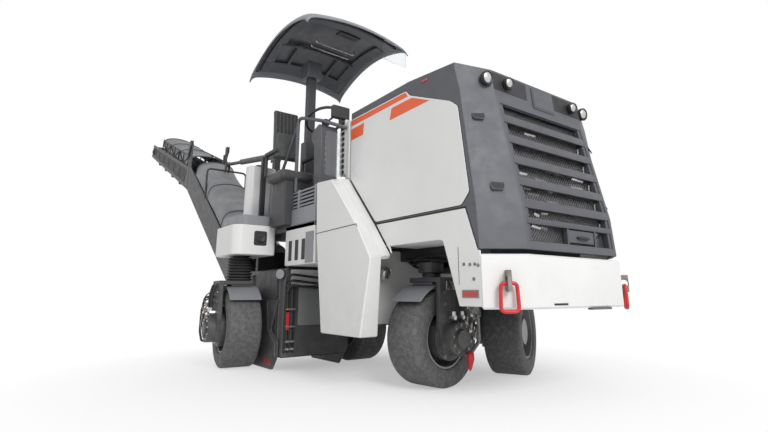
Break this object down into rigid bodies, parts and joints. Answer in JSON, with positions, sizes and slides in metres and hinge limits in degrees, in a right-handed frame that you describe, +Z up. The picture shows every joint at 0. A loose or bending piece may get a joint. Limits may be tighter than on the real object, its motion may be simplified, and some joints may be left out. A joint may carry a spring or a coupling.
{
  "type": "cold planer milling machine",
  "caption": "Compact wheeled cold planer with a side milling drum, folding rear conveyor, open operator platform under a canopy, and steered solid tyres.",
  "frame": {"origin": "bottom centre of the machine's box, on the ground it stands on", "axes": "+X forward from the conveyor to the grille, +Y to the machine's left, +Z up"},
  "size_m": [8.6784, 2.3066, 3.5766],
  "materials": {
    "tyre": "matt solid rubber",
    "rim_steel": "light grey paint",
    "slate_paint": "satin slate grey",
    "white_paint": "satin off-white",
    "lamp_glass": "clear lens",
    "tarpaulin": "coated grey tarpaulin",
    "rubber": "matt black rubber",
    "seat_vinyl": "black vinyl",
    "dark_plastic": "matt black plastic",
    "bare_steel": "worn steel",
    "black_paint": "satin black"
  },
  "bodies": {
    "root": {"front_axle": "black_paint", "column_rear_right": "black_paint", "column_rear_left": "black_paint", "main_frame": "black_paint", "engine_block": "black_paint", "lower_body_right": "white_paint", "lower_body_left": "white_paint", "bumper": "white_paint", "lashing_eyes": "bare_steel", "side_box_right": "white_paint", "shoulder_right": "white_paint", "bulkhead": "white_paint", "platform_deck": "slate_paint", "step_box": "white_paint", "console": "dark_plastic", "seat": "seat_vinyl", "rear_tank": "white_paint", "left_tank": "slate_paint", "column_cap_right": "white_paint", "column_cap_left": "slate_paint", "mast_socket": "black_paint", "drum_housing": "black_paint"},
    "hood": {"hood_shell": "white_paint", "grille_slats": "slate_paint", "hood_lamps": "lamp_glass"},
    "canopy": {"canopy": "slate_paint", "canopy_mast": "black_paint"},
    "steering_right": {"steering_fork_front_right": "black_paint", "fender_front_right": "slate_paint"},
    "steering_left": {"steering_fork_front_left": "black_paint", "fender_front_left": "slate_paint"},
    "wheel_front_right": {"tyre_front_right": "tyre", "rim_front_right": "rim_steel"},
    "wheel_front_left": {"tyre_front_left": "tyre", "rim_front_left": "rim_steel"},
    "leg_right": {"leg_rear_right": "black_paint", "fender_rear_right": "slate_paint"},
    "leg_left": {"leg_rear_left": "black_paint", "fender_rear_left": "slate_paint"},
    "wheel_rear_right": {"tyre_rear_right": "tyre", "rim_rear_right": "rim_steel"},
    "wheel_rear_left": {"tyre_rear_left": "tyre", "rim_rear_left": "rim_steel"},
    "drum": {"milling_drum": "bare_steel"},
    "plate_right": {"edge_plate_right": "black_paint"},
    "plate_left": {"edge_plate_left": "black_paint"},
    "conveyor_slew": {"slew_bracket": "black_paint"},
    "conveyor_lower": {"conveyor_lower_frame": "black_paint", "conveyor_lower_belt": "rubber", "conveyor_lower_cover": "tarpaulin"},
    "conveyor_head": {"conveyor_head_frame": "black_paint", "conveyor_head_belt": "rubber", "conveyor_head_cover": "tarpaulin"}
  },
  "joints": [
    {"name": "steering_right_kingpin", "type": "hinge", "parent": "root", "child": "steering_right", "pos_m": [3.40922, -0.05639, 0.775], "axis": [0, 0, 1], "range_deg": [0, 149]},
    {"name": "steering_left_kingpin", "type": "hinge", "parent": "root", "child": "steering_left", "pos_m": [3.40922, 0.80361, 0.775], "axis": [0, 0, 1], "range_deg": [0, 149]},
    {"name": "wheel_front_right_spin", "type": "hinge", "parent": "steering_right", "child": "wheel_front_right", "pos_m": [3.40922, -0.05639, 0.33], "axis": [0.9945, 0.1045, 0], "continuous": true},
    {"name": "wheel_front_left_spin", "type": "hinge", "parent": "steering_left", "child": "wheel_front_left", "pos_m": [3.40922, 0.80361, 0.33], "axis": [0.9063, 0.4226, 0], "continuous": true},
    {"name": "leg_right_lift", "type": "slide", "parent": "root", "child": "leg_right", "axis": [0, 0, 1], "range_m": [0, 0.205]},
    {"name": "leg_left_lift", "type": "slide", "parent": "root", "child": "leg_left", "axis": [0, 0, 1], "range_m": [0, 0.205]},
    {"name": "wheel_rear_right_spin", "type": "hinge", "parent": "leg_right", "child": "wheel_rear_right", "pos_m": [1.69922, -0.86439, 0.33], "axis": [0.1045, 0.9945, 0], "continuous": true},
    {"name": "wheel_rear_left_spin", "type": "hinge", "parent": "leg_left", "child": "wheel_rear_left", "pos_m": [1.90922, 0.28361, 0.33], "axis": [0, 1, 0], "continuous": true},
    {"name": "drum_spin", "type": "hinge", "parent": "root", "child": "drum", "pos_m": [1.80922, -0.34639, 0.4], "axis": [0, 1, 0], "continuous": true},
    {"name": "edge_plate_right_float", "type": "slide", "parent": "root", "child": "plate_right", "axis": [0, 0, 1], "range_m": [0, 0.19]},
    {"name": "edge_plate_left_float", "type": "slide", "parent": "root", "child": "plate_left", "axis": [0, 0, 1], "range_m": [0, 0.19]},
    {"name": "hood_hinge", "type": "hinge", "parent": "root", "child": "hood", "pos_m": [2.73322, 0.37361, 2.101], "axis": [0, -1, 0], "range_deg": [0, 48]},
    {"name": "canopy_lift", "type": "slide", "parent": "root", "child": "canopy", "axis": [0, 0, 1], "range_m": [-0.5, 0]},
    {"name": "conveyor_slew", "type": "hinge", "parent": "root", "child": "conveyor_slew", "pos_m": [1.20922, -0.34639, 0.31], "axis": [0, 0, 1], "range_deg": [-25, 25]},
    {"name": "conveyor_lift", "type": "hinge", "parent": "conveyor_slew", "child": "conveyor_lower", "pos_m": [1.00922, -0.34639, 0.64], "axis": [0, 1, 0], "range_deg": [-14, 8]},
    {"name": "conveyor_fold", "type": "hinge", "parent": "conveyor_lower", "child": "conveyor_head", "pos_m": [-1.34978, -0.34639, 2.87], "axis": [0, 1, 0], "range_deg": [0, 120]}
  ],
  "couplings": [
    {"joint": "steering_left_kingpin", "follows": "steering_right_kingpin", "ratio": 1}
  ]
}
